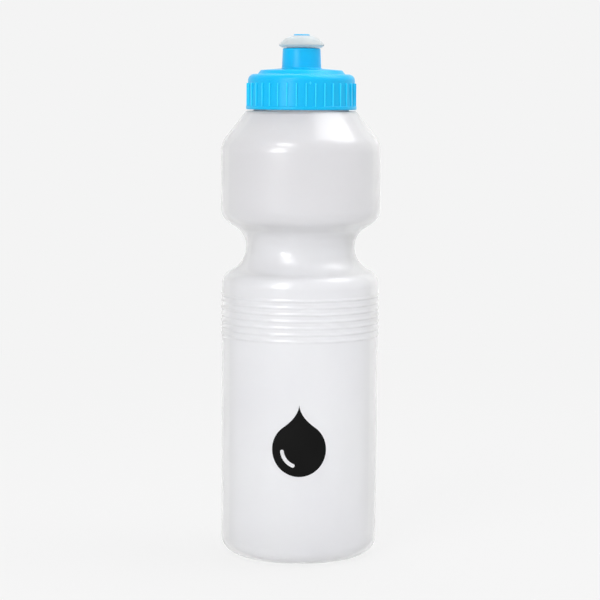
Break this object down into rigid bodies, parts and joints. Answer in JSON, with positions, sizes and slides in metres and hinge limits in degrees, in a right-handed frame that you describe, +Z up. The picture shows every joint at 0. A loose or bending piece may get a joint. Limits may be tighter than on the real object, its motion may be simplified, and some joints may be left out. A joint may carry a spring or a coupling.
{
  "type": "sports squeeze bottle",
  "caption": "Translucent squeeze bottle with a grip waist, a ribbed screw lid on a sealing washer and a push-pull drinking valve.",
  "frame": {"origin": "centre of the base, on the plane that the bottle stands on", "axes": "+Z up along the bottle's axis, towards the mouthpiece; -Y is the printed front; +X is to the right of a viewer who faces the front"},
  "size_m": [0.0738, 0.0738, 0.2404],
  "materials": {
    "bottle_frosted": "translucent frosted polyethylene, blow moulded, soft sheen",
    "lid_blue": "bright cyan-blue polypropylene, injection moulded, satin gloss",
    "washer_white": "soft off-white seal, matte",
    "mouthpiece_clear": "translucent soft polyethylene, pale grey-green, satin",
    "print_black": "one-colour screen-printed ink, satin"
  },
  "bodies": {
    "bottle": {"bottle_body": "bottle_frosted"},
    "washer": {"sealing_washer": "washer_white"},
    "lid": {"screw_lid": "lid_blue"},
    "mouthpiece": {"push_pull_mouthpiece": "mouthpiece_clear"}
  },
  "joints": [
    {"name": "lid_rise", "type": "slide", "parent": "bottle", "child": "washer", "axis": [0, 0, 1], "range_m": [0, 0.0201]},
    {"name": "lid_turn", "type": "hinge", "parent": "washer", "child": "lid", "pos_m": [0, 0, 0.215], "axis": [0, 0, 1], "range_deg": [0, 1440]},
    {"name": "mouthpiece_pull", "type": "slide", "parent": "lid", "child": "mouthpiece", "axis": [0, 0, 1], "range_m": [0, 0.007]}
  ],
  "couplings": [
    {"joint": "lid_rise", "follows": "lid_turn", "m_per_rad": 0.00079577}
  ]
}
